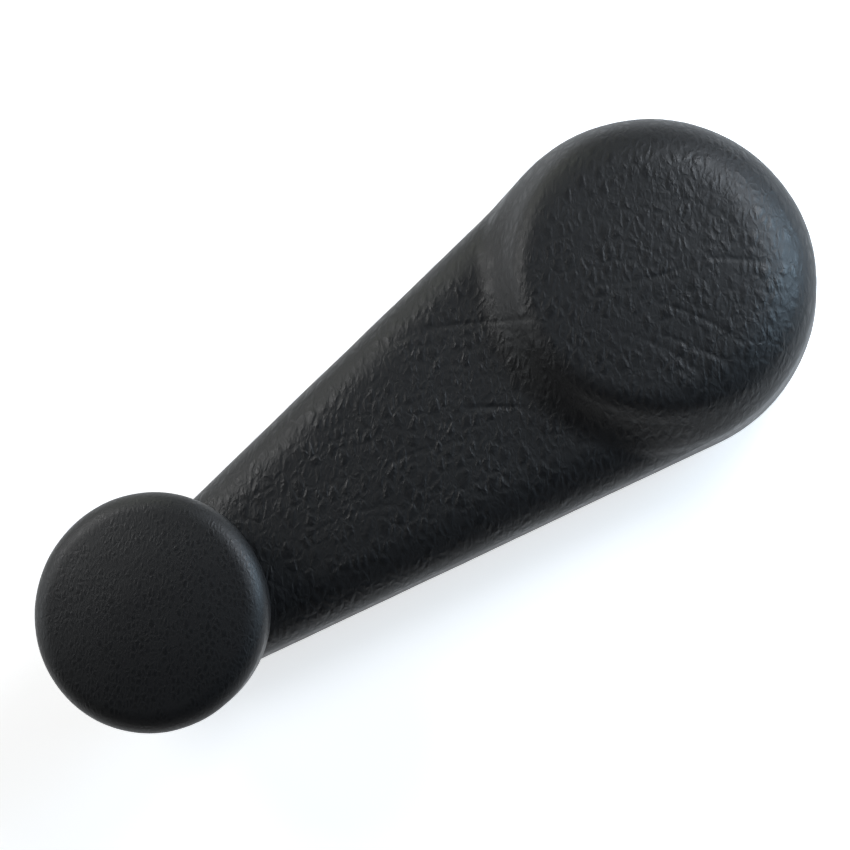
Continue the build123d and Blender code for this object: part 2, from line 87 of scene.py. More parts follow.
# Shape of the skin: edges have a height and a width, and crowns a fall from middle to outline
ARM_TOP = DOME_TOP - 5.0
ARM_EDGE = 4.5
ARM_EDGE_WIDTH = 7.0
ARM_CROWN = 0.7
DOME_EDGE = 6.3
DOME_EDGE_WIDTH = 9.0
DOME_CROWN = 0.8
REAR_EDGE = 2.5
LIP_INSET = 4.0
LIP_HEIGHT = 1.5
LIP_CORNER = 0.2
SKIN = 1.5
STUD_HOLE_RADIUS = 5.7

# Step from the dome down to the arm: a blunt cone about an axis just behind the hub's. The
# dome's edge goes on down past the hub's outline at DOME_SIDE_SLOPE, the drops of edge and
# step are joined by BLEND_POWER, and the cove at the arm is blended over COVE_SPREAD.
STEP_REACH = 15.2
STEP_SHIFT = 3.5
STEP_EDGE = 4.5
STEP_SLOPE = radians(46.0)
COVE_SPREAD = 3.0
DOME_SIDE_SLOPE = 2.5
BLEND_POWER = 4

# The skin's inside stays a gap above the carrier. It is probed by rays that drop from a share
# of the way in towards the spine.
CARRIER_GAP = 0.05
PROBE_STEP = 0.01

# Unevenness of the padded skins: depth, wave length, number of waves and seed. Each wave's
# length lies within WAVE_RANGE of the wave length, and their sum is cut off at WAVE_LIMIT.
BROAD = 0.09, 13, 40, 3
RIPPLE = 0.02, 2.4, 60, 8
KNOB_SWELL = 0.04, 7, 40, 5
WAVE_RANGE = 0.7, 1.5
WAVE_LIMIT = 1.5

# Creases: three points along each in plan, and its depth
CREASE_WIDTH = 0.38
CREASE_STEPS = 60
CREASES = (
    ((40, -15), (28, -12), (15, -3), 0.14),
    ((32, 0), (28, 2.5), (24, 5.5), 0.10),
    ((0, -17), (-3.5, -15.5), (-7.5, -13.5), 0.05),
    ((6.5, -3), (-1, 1), (-8, 3), 0.06),
    ((-8, 3), (-12, 5.5), (-16.5, 10), 0.065),
    ((4.5, 6), (-0.5, 13), (-4, 19), 0.05),
    ((1, 3.5), (-3.5, 10), (-7, 17.5), 0.05),
    ((9, 3), (3.5, 10), (0.5, 19.5), 0.05),
    ((47, 0.5), (41, 1.5), (33.5, 4.5), 0.06),
    ((63, 3), (54, 3.5), (45, 8), 0.05),
)

# Shape of the knob's cap, which is KNOB_WALL thick at its side and KNOB_FACE at its face
KNOB_CROWN = 1.5
KNOB_EDGE = 2.0
KNOB_EDGE_WIDTH = 3.0
KNOB_FOOT_RADIUS = 16.1
KNOB_FOOT_EDGE = 0.5
KNOB_LIP = 0.6
KNOB_LIP_RADIUS = 13.4
KNOB_WALL = 1.5
KNOB_FACE = 2.5

# Fineness of the meshes: distance between columns, numbers of rows, and the distance within
# which points are merged
OUTSIDE_SPACING = 0.3
OUTSIDE_FACE_ROWS = 50
OUTSIDE_EDGE_ROWS = 20
SIDE_ROWS = 12
REAR_EDGE_ROWS = 6
REAR_ROWS = 3
INSIDE_SPACING = 0.9
INSIDE_FACE_ROWS = 26
INSIDE_EDGE_ROWS = 12
KNOB_SPACING = 0.28
KNOB_FACE_ROWS = 56
KNOB_EDGE_ROWS = 18
KNOB_SIDE_ROWS = 21
KNOB_FOOT_ROWS = 4
KNOB_INSIDE_SIDE_ROWS = 8
KNOB_INSIDE_FACE_ROWS = 11
WELD = 0.004

# Leather grain of the two skins: its size and depth, how it is turned and drawn out, how far
# and how finely its lines bend, and its layers' fineness and share of the height
GRAIN_SIZE = 0.0016
GRAIN_DEPTH = 0.00011
KNOB_GRAIN_SIZE = 0.0008
KNOB_GRAIN_DEPTH = 0.00003
GRAIN_TURN = (0.0, 0.0, radians(55))
GRAIN_STRETCH = (1.45, 0.85, 1.0)
GRAIN_BEND = 0.5
GRAIN_BEND_SCALE = 0.9
GRAIN_LAYERS = (1.0, 0.76), (2.3, 0.24)
GRAIN_VALLEY = 0.36

# Patches of fainter grain: scale against the grain's, the noise that they come from, and the
# grain left in them
PATCH_SCALE = 0.4
PATCH_NOISE = 0.35, 0.65
PATCH_LEAST = 0.6

# Where the grain is weaker, as a start, an end and the grain left at the start: by how far the
# surface faces upwards, and where hands have rubbed it down, along X and along Y
GRAIN_FADE = 0.3, 0.95, 0.6
RUBBED_HUB = 0.012, 0.035, 0.78
RUBBED_SIDE = -0.022, -0.006, 0.55

# Soft black vinyl of the skins
VINYL_DARK = (0.0065, 0.0066, 0.0073)
VINYL_PALE = (0.0095, 0.0097, 0.0105)
VINYL_CLOUD_SCALE = 60.0
VINYL_ROUGHNESS = 0.38
VALLEY_ROUGHNESS = 0.50
FINE_SCALE = 3000.0
FINE_DEPTH = 0.000005
FINE_STRENGTH = 0.5

# Dark and light colours of the other parts
BLACK = (0.012, 0.012, 0.013), (0.035, 0.035, 0.037)
SMOKE = (0.030, 0.031, 0.033), (0.075, 0.076, 0.078)
ZINC = (0.36, 0.37, 0.38), (0.58, 0.59, 0.60)
PLATED = (0.48, 0.47, 0.43), (0.74, 0.73, 0.69)
STEEL = (0.30, 0.30, 0.31), (0.56, 0.56, 0.57)
BLUED = (0.055, 0.060, 0.075), (0.17, 0.17, 0.19)
ACETAL = (0.62, 0.61, 0.56), (0.78, 0.77, 0.73)
FOAM = (0.20, 0.19, 0.17), (0.36, 0.35, 0.31)

# The other parts' textures, in proportion to their size
SPARK_FINENESS = 2.2
PIT_FINENESS = 1.4
PIT_DISTANCE = 0.05, 0.2
ROLLED_STRETCH = (0.05, 1.0, 1.0)
RING_CLOUDS = 0.3
FOAM_WALL = 0.25

# What lightens the other parts' colour, and what varies their roughness. Edges are worn within
# EDGE_WEAR of them, from EDGE_BLUNT to EDGE_SHARP in the cosine of how far they turn there.
CLOUD_SCALE = 130.0
CLOUD_SHARE = 0.7
TEXTURE_SHARE = 0.3
EDGE_SHARE = 0.6
EDGE_WEAR = 0.0003
EDGE_BLUNT, EDGE_SHARP = 0.99, 0.85
SMUDGE_SCALE = 240.0
SMUDGE_NOISE = 0.3, 0.7
SMUDGE_GLOSS = 0.07
SMUDGE_MATT = 0.09
EDGE_GLOSS = 0.75

# Camera: turned about the handle's axes in degrees, with lengths in millimetres
CAMERA_AIM = (42.0, 0.0, 12.0)
CAMERA_LEAN_X = 11.29
CAMERA_LEAN_Y = 3.37
CAMERA_ROLL = 214.81
CAMERA_OFFSET = (2.2, 3.84)
CAMERA_DISTANCE = 330.0
CAMERA_LENS = 94.7
CAMERA_SENSOR = 36.0

# Floor, which gives off some light of its own
FLOOR_SIZE = 3.0
FLOOR_COLOUR = (0.9, 0.9, 0.9, 1)
FLOOR_ROUGHNESS = 0.9
FLOOR_GLOW = 0.66
WHITE = (1, 1, 1, 1)

# Surroundings: strength overhead and at the horizon, and the elevations where it changes
WORLD_DIM = 0.0
WORLD_PALE = 0.22
WORLD_LOW = 8.0
WORLD_TOP = 30.0

# Lights: name, azimuth and elevation in degrees, power in watts, and colour
LIGHT_DISTANCE = 0.28
LIGHT_SIZE = 0.13
LIGHTS = (
    ("sky", -165, 42, 0.36, (0.90, 0.94, 1.0)),
    ("key", -63, 36, 0.23, (1.0, 1.0, 1.0)),
    ("window", 167, 26, 0.44, (0.58, 0.80, 1.0)),
    ("side", -35, 19, 0.085, (0.90, 0.96, 1.0)),
    ("low", -95, 21, 0.08, (0.95, 1.0, 0.85)),
)


# ---------------------------------------------------------------- mesh helpers


def steps(start, end, count):
    """Evenly spaced values from one step after a start up to an end."""
    return np.linspace(start, end, count + 1)[1:]


def grid_faces(rows, columns):
    """The quads of a grid of points, row after row, closed round its columns."""
    row, column = np.meshgrid(np.arange(rows - 1), np.arange(columns), indexing="ij")
    here = row * columns + column
    after = row * columns + (column + 1) % columns
    return np.stack([here, here + columns, after + columns, after], -1).reshape(-1, 4)


def add_sheet(bm, rows, flip):
    """Adds a grid of rows to a bmesh, with its faces turned over or not."""
    points = np.stack(rows).transpose(0, 2, 1).reshape(-1, 3)
    faces = grid_faces(len(rows), rows[0].shape[1])
    if flip:
        faces = faces[:, ::-1]
    verts = [bm.verts.new(point) for point in points]
    for face in faces:
        bm.faces.new([verts[index] for index in face])


def weld(bm):
    """Merges the points that lie in one place."""
    bmesh.ops.remove_doubles(bm, verts=bm.verts, dist=WELD)


def add_object(name, data):
    """Adds an object to the scene."""
    made = bpy.data.objects.new(name, data)
    bpy.context.scene.collection.objects.link(made)
    return made


def mesh_object(name, bm):
    """Turns a bmesh into an object of the scene."""
    mesh = bpy.data.meshes.new(name)
    bm.to_mesh(mesh)
    bm.free()
    return add_object(name, mesh)


def skin_object(name, bm):
    """Turns a bmesh in millimetres into a smooth-shaded object in metres."""
    bmesh.ops.scale(bm, vec=(MM, MM, MM), verts=bm.verts)
    piece = mesh_object(name, bm)
    piece.data.shade_smooth()
    return piece


def edge_round(inset, width, height):
    """How far an elliptical rounded edge drops below its top at an inset from the outline."""
    gap = np.clip(1 - inset / width, 0, 1)
    return height * (1 - np.sqrt(1 - gap**2))


def smooth_max(a, b, spread):
    """The larger of two heights, blended where they are nearer than spread."""
    near = np.clip(1 - np.abs(a - b) / spread, 0, 1)
    return np.maximum(a, b) + near * near * spread / 4


# ---------------------------------------------------------------- unevenness


def uneven(points, relief, length, count, seed):
    """A smooth random depth from 0 to a relief, made of plane waves in random directions."""
    rng = np.random.default_rng(seed)
    direction = rng.normal(size=(count, 3))
    direction /= np.linalg.norm(direction, axis=1, keepdims=True)
    pitch = 2 * pi / (length * rng.uniform(*WAVE_RANGE, count))
    angle = points @ (direction * pitch[:, None]).T + rng.uniform(0, 2 * pi, count)
    height = np.cos(angle).sum(axis=1) / np.sqrt(count)
    return relief / 2 * (1 + np.clip(height, -WAVE_LIMIT, WAVE_LIMIT) / WAVE_LIMIT)


def crease_line(start, middle, end):
    """Points along a curve through three points in plan, and each one's share of the way."""
    start, middle, end = np.array(start), np.array(middle), np.array(end)
    share = np.linspace(0, 1, CREASE_STEPS)[:, None]
    pull = 2 * middle - (start + end) / 2
    line = (1 - share) ** 2 * start + 2 * share * (1 - share) * pull + share**2 * end
    return line, share[:, 0]


def crease_depth(points):
    """How far the long creases press the skin in at each point."""
    depth = np.zeros(len(points))
    upper = points[:, 2] > ARM_TOP - ARM_EDGE
    plan = points[upper, :2]
    for start, middle, end, deepest in CREASES:
        line, share = crease_line(start, middle, end)
        gap = np.linalg.norm(plan[:, None, :] - line[None, :, :], axis=2)
        fade = np.sqrt(np.sin(pi * share[gap.argmin(axis=1)]))
        depth[upper] += deepest * fade * np.exp(-((gap.min(axis=1) / CREASE_WIDTH) ** 2))
    return depth


def grip_relief(points):
    """Depth of the grip skin's unevenness and its creases."""
    return uneven(points, *BROAD) + uneven(points, *RIPPLE) + crease_depth(points)


def knob_relief(points):
    """Depth of the knob cap's slight unevenness."""
    return uneven(points, *KNOB_SWELL)


def press_in(bm, relief):
    """Moves each point of a surface inwards by the relief's depth there."""
    bm.normal_update()
    points = np.array([vert.co for vert in bm.verts])
    for vert, depth in zip(bm.verts, relief(points)):
        vert.co -= vert.normal * float(depth)


# ---------------------------------------------------------------- grip skin


def half_width(along):
    """The handle's half width, from the hub at 0 along to the tip at 1."""
    return HUB_RADIUS + (TIP_RADIUS - HUB_RADIUS) * along


def outline(spacing):
    """Columns round the handle: spine point, outward direction and radius of each."""
    lean = pi / 2 - HUB_ARC
    hub = np.linspace(HUB_ARC, 2 * pi - HUB_ARC, int(2 * (pi - HUB_ARC) * HUB_RADIUS / spacing))
    tip = np.linspace(-HUB_ARC, HUB_ARC, int(2 * HUB_ARC * TIP_RADIUS / spacing))
    side = np.linspace(0, 1, int(REACH * cos(lean) / spacing))[1:-1]
    angle = np.concatenate([hub, np.full(side.size, -HUB_ARC), tip, np.full(side.size, HUB_ARC)])
    along = np.concatenate([np.zeros(hub.size), side, np.ones(tip.size), side[::-1]])
    return REACH * along, np.stack([np.cos(angle), np.sin(angle)]), half_width(along)


def step_drop(x, y, depth):
    """How far the blunt cone drops below its flat top."""
    beyond = np.hypot(x + STEP_SHIFT, y) - STEP_SHIFT - STEP_REACH
    bend = STEP_EDGE - depth
    turned = np.clip(beyond / bend, 0, sin(STEP_SLOPE))
    straight = np.clip(beyond - bend * sin(STEP_SLOPE), 0, None)
    return bend * (1 - np.sqrt(1 - turned**2)) + tan(STEP_SLOPE) * straight


def dome_height(x, y, depth):
    """The dome's height: crowned, with a rounded edge at the hub's side and the step at the arm."""
    from_hub = np.hypot(x, y)
    inset = HUB_RADIUS - depth - from_hub
    edge = edge_round(inset, DOME_EDGE_WIDTH - depth, DOME_EDGE - depth)
    edge = edge + DOME_SIDE_SLOPE * np.clip(-inset, 0, None)
    drop = (edge**BLEND_POWER + step_drop(x, y, depth) ** BLEND_POWER) ** (1 / BLEND_POWER)
    return DOME_TOP - depth - DOME_CROWN * (from_hub / HUB_RADIUS) ** 2 - drop


def top_height(x, y, inset, depth):
    """The height of the skin's top, or of the same form drawn in by a depth."""
    arm = ARM_TOP - depth - edge_round(inset, ARM_EDGE_WIDTH - depth, ARM_EDGE - depth)
    across = np.abs(y) / half_width(np.clip(x / REACH, 0, 1))
    arm = arm - ARM_CROWN * np.clip(across, 0, 1) ** 2
    return smooth_max(arm, dome_height(x, y, depth), COVE_SPREAD)


def top_rows(depth, spacing, face_rows, edge_rows):
    """Rows of points from the spine out to the edge, over the form drawn in by a depth."""
    centre, direction, radius = outline(spacing)
    radius = radius - depth
    edge = DOME_EDGE_WIDTH - depth
    insets = [radius - share * (radius - edge) for share in np.linspace(0, 1, face_rows)]
    for turn in steps(0, pi / 2, edge_rows):
        insets.append(np.full(radius.size, edge * (1 - sin(turn))))
    rows = []
    for inset in insets:
        x = centre + direction[0] * (radius - inset)
        y = direction[1] * (radius - inset)
        rows.append(np.stack([x, y, top_height(x, y, inset, depth)]))
    return rows


def side_rows(spacing, levels):
    """Rows of points below the edge, from pairs of inset and height."""
    centre, direction, radius = outline(spacing)
    rows = []
    for inset, height in levels:
        x = centre + direction[0] * (radius - inset)
        y = direction[1] * (radius - inset)
        rows.append(np.stack([x, y, np.broadcast_to(height, x.shape)]))
    return rows


def outside_rows():
    """The skin's outside, from the spine over the edge, down the side and in under the lip."""
    rows = top_rows(0, OUTSIDE_SPACING, OUTSIDE_FACE_ROWS, OUTSIDE_EDGE_ROWS)
    top = rows[-1][2]
    foot = REAR + REAR_EDGE
    levels = [(0, top + (foot - top) * share) for share in steps(0, 1, SIDE_ROWS)]
    for turn in steps(0, pi / 2, REAR_EDGE_ROWS):
        levels.append((REAR_EDGE * (1 - cos(turn)), foot - REAR_EDGE * sin(turn)))
    for inset in steps(REAR_EDGE, LIP_INSET - LIP_CORNER, REAR_ROWS):
        levels.append((inset, REAR))
    levels.append((LIP_INSET, REAR + LIP_CORNER))
    levels.append((LIP_INSET, REAR + LIP_HEIGHT))
    return rows + side_rows(OUTSIDE_SPACING, levels)


def carrier_surface():
    """The carrier's surface, in millimetres, for rays to meet."""
    carrier = frame["nodes"]["cover_carrier"]
    bm = bmesh.new()
    bm.from_mesh(carrier.data)
    bm.transform(Matrix.Scale(1 / MM, 4) @ carrier.matrix_world)
    surface = BVHTree.FromBMesh(bm)
    bm.free()
    return surface


def clear_of_carrier(rows):
    """Lifts the points of the skin's inside that would lie in the carrier to just above it.

    Each ray drops a little nearer to the spine than its point, so that it meets the carrier's
    top at the outline too.
    """
    surface = carrier_surface()
    spine = rows[0][:2]
    for row in rows:
        probes = row[:2] + PROBE_STEP * (spine - row[:2])
        for point, probe in zip(row.T, probes.T):
            met = surface.ray_cast(Vector((*probe, DOME_TOP)), DOWN)[0]
            if met is not None:
                point[2] = max(point[2], met.z + CARRIER_GAP)
    return rows


def inside_rows():
    """The skin's inside, from the spine over and down to the lip."""
    rows = clear_of_carrier(top_rows(SKIN, INSIDE_SPACING, INSIDE_FACE_ROWS, INSIDE_EDGE_ROWS))
    lip_top = REAR + LIP_HEIGHT
    halfway = (rows[-1][2] + lip_top) / 2
    levels = [(SKIN, halfway), (SKIN, lip_top), (LIP_INSET, lip_top)]
    return rows + side_rows(INSIDE_SPACING, levels)


def open_edges(bm):
    """The edges that have a face on one side only."""
    return [edge for edge in bm.edges if edge.is_boundary]


def from_stud(vert):
    """A point's distance from the stud's axis."""
    return np.hypot(vert.co.x - REACH, vert.co.y)


def cut_stud_hole(bm):
    """Opens the skin round the stud: drops the faces there and joins the outside to the inside."""
    above = ARM_TOP - 2 * SKIN
    inside = {vert for vert in bm.verts if vert.co.z > above and from_stud(vert) < STUD_HOLE_RADIUS}
    doomed = [face for face in bm.faces if any(vert in inside for vert in face.verts)]
    bmesh.ops.delete(bm, geom=doomed, context="FACES")
    rim = open_edges(bm)
    for vert in {vert for edge in rim for vert in edge.verts}:
        stretch = STUD_HOLE_RADIUS / from_stud(vert)
        vert.co.x = REACH + (vert.co.x - REACH) * stretch
        vert.co.y = vert.co.y * stretch
        vert.co.z = max(vert.co.z, ARM_TOP - SKIN + CARRIER_GAP)
    bmesh.ops.bridge_loops(bm, edges=rim)


def make_grip_skin():
    """The hollow skin over the dome and the arm, closed at the lip and round the stud."""
    bm = bmesh.new()
    add_sheet(bm, outside_rows(), flip=False)
    weld(bm)
    press_in(bm, grip_relief)
    add_sheet(bm, inside_rows(), flip=True)
    weld(bm)
    bmesh.ops.bridge_loops(bm, edges=open_edges(bm))
    cut_stud_hole(bm)
    bmesh.ops.triangulate(bm, faces=[face for face in bm.faces if len(face.verts) > 4])
    return skin_object("grip_skin", bm)


# ---------------------------------------------------------------- knob


def knob_face_points():
    """The knob cap's crowned face and rounded edge, as pairs of radius and height."""
    face_radius = KNOB_RADIUS - KNOB_EDGE_WIDTH
    radii = list(np.linspace(0, face_radius, KNOB_FACE_ROWS))
    for turn in steps(0, pi / 2, KNOB_EDGE_ROWS):
        radii.append(face_radius + KNOB_EDGE_WIDTH * sin(turn))
    points = []
    for radius in radii:
        drop = KNOB_CROWN * (radius / KNOB_RADIUS) ** 2
        drop += edge_round(KNOB_RADIUS - radius, KNOB_EDGE_WIDTH, KNOB_EDGE)
        points.append((radius, KNOB_TOP - drop))
    return points


def knob_side_points():
    """The knob cap's side, its rounded foot and the lip under it."""
    top, foot = KNOB_TOP - KNOB_CROWN - KNOB_EDGE, KNOB_FOOT + KNOB_FOOT_EDGE
    points = []
    for share in steps(0, 1, KNOB_SIDE_ROWS):
        radius = KNOB_RADIUS + (KNOB_FOOT_RADIUS - KNOB_RADIUS) * share
        points.append((radius, top + (foot - top) * share))
    for turn in steps(0, pi / 2, KNOB_FOOT_ROWS):
        radius = KNOB_FOOT_RADIUS - KNOB_FOOT_EDGE * (1 - cos(turn))
        points.append((radius, foot - KNOB_FOOT_EDGE * sin(turn)))
    for radius in steps(KNOB_FOOT_RADIUS - KNOB_FOOT_EDGE, KNOB_LIP_RADIUS, KNOB_FOOT_ROWS):
        points.append((radius, KNOB_FOOT))
    return points


def knob_inside_points():
    """The knob cap's inside, from the lip up the wall and in under the face."""
    foot, top = KNOB_FOOT + KNOB_LIP, KNOB_TOP - KNOB_FACE
    points = [(KNOB_LIP_RADIUS, foot)]
    for share in np.linspace(0, 1, KNOB_INSIDE_SIDE_ROWS):
        radius = KNOB_FOOT_RADIUS + (KNOB_RADIUS - KNOB_FOOT_RADIUS) * share - KNOB_WALL
        points.append((radius, foot + (top - foot) * share))
    for radius in steps(KNOB_RADIUS - KNOB_WALL, 0, KNOB_INSIDE_FACE_ROWS):
        points.append((radius, top))
    return points


def make_knob_skin():
    """The soft cap over the knob, turned about the stud's axis."""
    columns = int(2 * pi * KNOB_RADIUS / KNOB_SPACING)
    turn = np.linspace(0, 2 * pi, columns, endpoint=False)
    rows = []
    for radius, height in knob_face_points() + knob_side_points() + knob_inside_points():
        x = REACH + radius * np.cos(turn)
        rows.append(np.stack([x, radius * np.sin(turn), np.full(columns, height)]))
    bm = bmesh.new()
    add_sheet(bm, rows, flip=False)
    weld(bm)
    press_in(bm, knob_relief)
    return skin_object("knob_skin", bm)


# ---------------------------------------------------------------- material nodes


def feed(tree, socket, value):
    """Links a node's output to an input socket, or sets the socket to a value."""
    if isinstance(value, bpy.types.NodeSocket):
        tree.links.new(value, socket)
    else:
        socket.default_value = value


def node(tree, kind, inputs=None, **settings):
    """Adds one node, with settings on the node and values or links on its inputs."""
    made = tree.nodes.new(kind)
    for name, value in settings.items():
        setattr(made, name, value)
    for name, value in (inputs or {}).items():
        feed(tree, made.inputs[name], value)
    return made


def maths(tree, operation, *values, clamp=False):
    """The result of a maths node on values or sockets."""
    inputs = dict(enumerate(values))
    return node(tree, "ShaderNodeMath", inputs, operation=operation, use_clamp=clamp).outputs[0]


def vector_maths(tree, operation, *values):
    """The outputs of a vector maths node on values or sockets."""
    return node(tree, "ShaderNodeVectorMath", dict(enumerate(values)), operation=operation).outputs


def noise(tree, place, scale, detail=2.0, roughness=0.5):
    """A noise texture's value, 0 to 1 about 0.5."""
    inputs = {"Vector": place, "Scale": scale, "Detail": detail, "Roughness": roughness}
    return node(tree, "ShaderNodeTexNoise", inputs).outputs[0]


def cells(tree, place, scale, **settings):
    """The distance output of a cell texture."""
    inputs = {"Vector": place, "Scale": scale}
    return node(tree, "ShaderNodeTexVoronoi", inputs, **settings).outputs["Distance"]


def remap(tree, value, low, high, to_low=0.0, to_high=1.0):
    """Maps a value smoothly from one range to another, held inside the second."""
    inputs = {"Value": value, "From Min": low, "From Max": high, "To Min": to_low, "To Max": to_high}
    made = node(tree, "ShaderNodeMapRange", inputs, interpolation_type="SMOOTHSTEP", clamp=True)
    return made.outputs[0]


def mixed(tree, share, low, high):
    """A colour between two colours."""
    made = node(tree, "ShaderNodeMix", {"Factor": share}, data_type="RGBA")
    made.inputs[6].default_value = (*low, 1)
    made.inputs[7].default_value = (*high, 1)
    return made.outputs[2]


def bump(tree, height, distance, strength=1.0, normal=None):
    """A bump from a height of 0 to 1 over a distance in metres."""
    inputs = {"Height": height, "Distance": distance, "Strength": strength}
    if normal is not None:
        inputs["Normal"] = normal
    return node(tree, "ShaderNodeBump", inputs).outputs[0]


def stretched(tree, place, scale):
    """The place scaled along each axis, so that a texture is drawn out along the small ones."""
    return node(tree, "ShaderNodeMapping", {"Vector": place, "Scale": scale}).outputs[0]


def warped(tree, place, scale, amount):
    """The place moved about by noise."""
    wobble = node(tree, "ShaderNodeTexNoise", {"Vector": place, "Scale": scale, "Detail": 1.0})
    centred = vector_maths(tree, "SUBTRACT", wobble.outputs["Color"], (0.5, 0.5, 0.5))[0]
    scaled = node(tree, "ShaderNodeVectorMath", {0: centred, "Scale": amount}, operation="SCALE")
    return vector_maths(tree, "ADD", place, scaled.outputs[0])[0]


def new_material(name):
    """A material with an empty node tree and its shader, output and object coordinates."""
    material = bpy.data.materials.new(name)
    material.use_nodes = True
    tree = material.node_tree
    tree.nodes.clear()
    shader = tree.nodes.new("ShaderNodeBsdfPrincipled")
    output = tree.nodes.new("ShaderNodeOutputMaterial")
    tree.links.new(shader.outputs[0], output.inputs["Surface"])
    place = tree.nodes.new("ShaderNodeTexCoord").outputs["Object"]
    return material, tree, shader, place


# ---------------------------------------------------------------- grained vinyl


def leather(tree, place, size):
    """Leather grain with pebbles of a size: 0 in the valleys between them and 1 on their tops."""
    inputs = {"Vector": place, "Rotation": GRAIN_TURN, "Scale": GRAIN_STRETCH}
    turned = node(tree, "ShaderNodeMapping", inputs, vector_type="TEXTURE").outputs[0]
    bent = warped(tree, turned, GRAIN_BEND_SCALE / size, GRAIN_BEND * size)
    layers = []
    for fineness, share in GRAIN_LAYERS:
        edges = cells(tree, bent, fineness / size, feature="DISTANCE_TO_EDGE")
        layers.append(maths(tree, "MULTIPLY", remap(tree, edges, 0.0, GRAIN_VALLEY), share))
    height = maths(tree, "ADD", *layers)
    patches = remap(tree, noise(tree, place, PATCH_SCALE / size), *PATCH_NOISE, PATCH_LEAST, 1.0)
    return maths(tree, "MULTIPLY", height, patches)


def grain_strength(tree, place):
    """The share of the grain that is left, by which way the skin faces and where it is rubbed."""
    facing = node(tree, "ShaderNodeTexCoord").outputs["Normal"]
    upward = node(tree, "ShaderNodeSeparateXYZ", {"Vector": facing}).outputs["Z"]
    plan = node(tree, "ShaderNodeSeparateXYZ", {"Vector": place}).outputs
    strength = 1.0
    for value, fade in ((upward, GRAIN_FADE), (plan["X"], RUBBED_HUB), (plan["Y"], RUBBED_SIDE)):
        start, end, least = fade
        strength = maths(tree, "MULTIPLY", strength, remap(tree, value, start, end, least, 1.0))
    return strength


def skin_material(name, grain_size, grain_depth):
    """Soft black vinyl with leather grain, duller in its valleys."""
    material, tree, shader, place = new_material(name)
    grain = leather(tree, place, grain_size)
    clouds = noise(tree, place, VINYL_CLOUD_SCALE, detail=3.0)
    feed(tree, shader.inputs["Base Color"], mixed(tree, clouds, VINYL_DARK, VINYL_PALE))
    roughness = remap(tree, grain, 0.0, 1.0, VALLEY_ROUGHNESS, VINYL_ROUGHNESS)
    feed(tree, shader.inputs["Roughness"], roughness)
    normal = bump(tree, grain, grain_depth, grain_strength(tree, place))
    normal = bump(tree, noise(tree, place, FINE_SCALE), FINE_DEPTH, FINE_STRENGTH, normal)
    feed(tree, shader.inputs["Normal"], normal)
    return material


# ---------------------------------------------------------------- the other parts' textures


def spark_texture(tree, place, size):
    """Spark-eroded mould texture: small soft pits."""
    rough = noise(tree, place, SPARK_FINENESS / size, detail=3.0)
    return maths(tree, "MULTIPLY", cells(tree, place, 1 / size), rough)


def cast_texture(tree, place, size):
    """Cast metal: cloudy skin with a few small pits."""
    cloudy = noise(tree, place, 1 / size, detail=5.0, roughness=0.65)
    pits = remap(tree, cells(tree, place, PIT_FINENESS / size), *PIT_DISTANCE)
    return maths(tree, "MULTIPLY", cloudy, pits)


def rolled_texture(tree, place, size):
    """Rolled strip: fine lines along X."""
    return noise(tree, stretched(tree, place, ROLLED_STRETCH), 1 / size, detail=4.0)


def turned_texture(tree, place, size, centre=0.0):
    """Turned or moulded rings about an upright axis at an X."""
    moved = vector_maths(tree, "ADD", place, (-centre, 0, 0))[0]
    flat = stretched(tree, moved, (1.0, 1.0, 0.0))
    radius = vector_maths(tree, "LENGTH", flat)["Value"]
    rings = maths(tree, "SINE", maths(tree, "MULTIPLY", radius, 2 * pi / size))
    height = maths(tree, "MULTIPLY_ADD", rings, 0.5, 0.5)
    return maths(tree, "MULTIPLY", height, noise(tree, place, RING_CLOUDS / size, detail=3.0))


def knob_rings(tree, place, size):
    """Turned rings about the knob's axis."""
    return turned_texture(tree, place, size, REACH * MM)


def foam_texture(tree, place, size):
    """Open foam: cells with thin walls."""
    walls = cells(tree, place, 1 / size, feature="DISTANCE_TO_EDGE")
    return remap(tree, walls, FOAM_WALL, 0.0)


def worn_edges(tree):
    """1 along sharp edges and 0 elsewhere."""
    soft = node(tree, "ShaderNodeBevel", {"Radius": EDGE_WEAR}, samples=4).outputs[0]
    true = node(tree, "ShaderNodeNewGeometry").outputs["Normal"]
    same = vector_maths(tree, "DOT_PRODUCT", soft, true)["Value"]
    return remap(tree, same, EDGE_BLUNT, EDGE_SHARP)


def part_colour(tree, place, height, edges, dark, light):
    """A dark colour, lighter in its clouds, on the texture's tops and at worn edges."""
    cloud = noise(tree, place, CLOUD_SCALE, detail=4.0, roughness=0.6)
    share = maths(tree, "MULTIPLY", cloud, CLOUD_SHARE)
    share = maths(tree, "ADD", share, maths(tree, "MULTIPLY", height, TEXTURE_SHARE))
    share = maths(tree, "ADD", share, maths(tree, "MULTIPLY", edges, EDGE_SHARE), clamp=True)
    return mixed(tree, share, dark, light)


def part_roughness(tree, place, edges, roughness):
    """A roughness that varies in smudges and is lower at worn edges."""
    smudge = noise(tree, place, SMUDGE_SCALE, detail=4.0)
    least, most = roughness - SMUDGE_GLOSS, roughness + SMUDGE_MATT
    smudge = remap(tree, smudge, *SMUDGE_NOISE, least, most)
    return maths(tree, "MULTIPLY", smudge, remap(tree, edges, 0.0, 1.0, 1.0, EDGE_GLOSS))


def part_material(name, dark, light, texture, size, depth, roughness, metallic):
    """A plastic, foam or metal part with its surface texture and worn edges."""
    material, tree, shader, place = new_material(name)
    height = texture(tree, place, size)
    edges = worn_edges(tree)
    colour = part_colour(tree, place, height, edges, dark, light)
    feed(tree, shader.inputs["Base Color"], colour)
    feed(tree, shader.inputs["Roughness"], part_roughness(tree, place, edges, roughness))
    feed(tree, shader.inputs["Metallic"], metallic)
    feed(tree, shader.inputs["Normal"], bump(tree, height, depth))
    return material


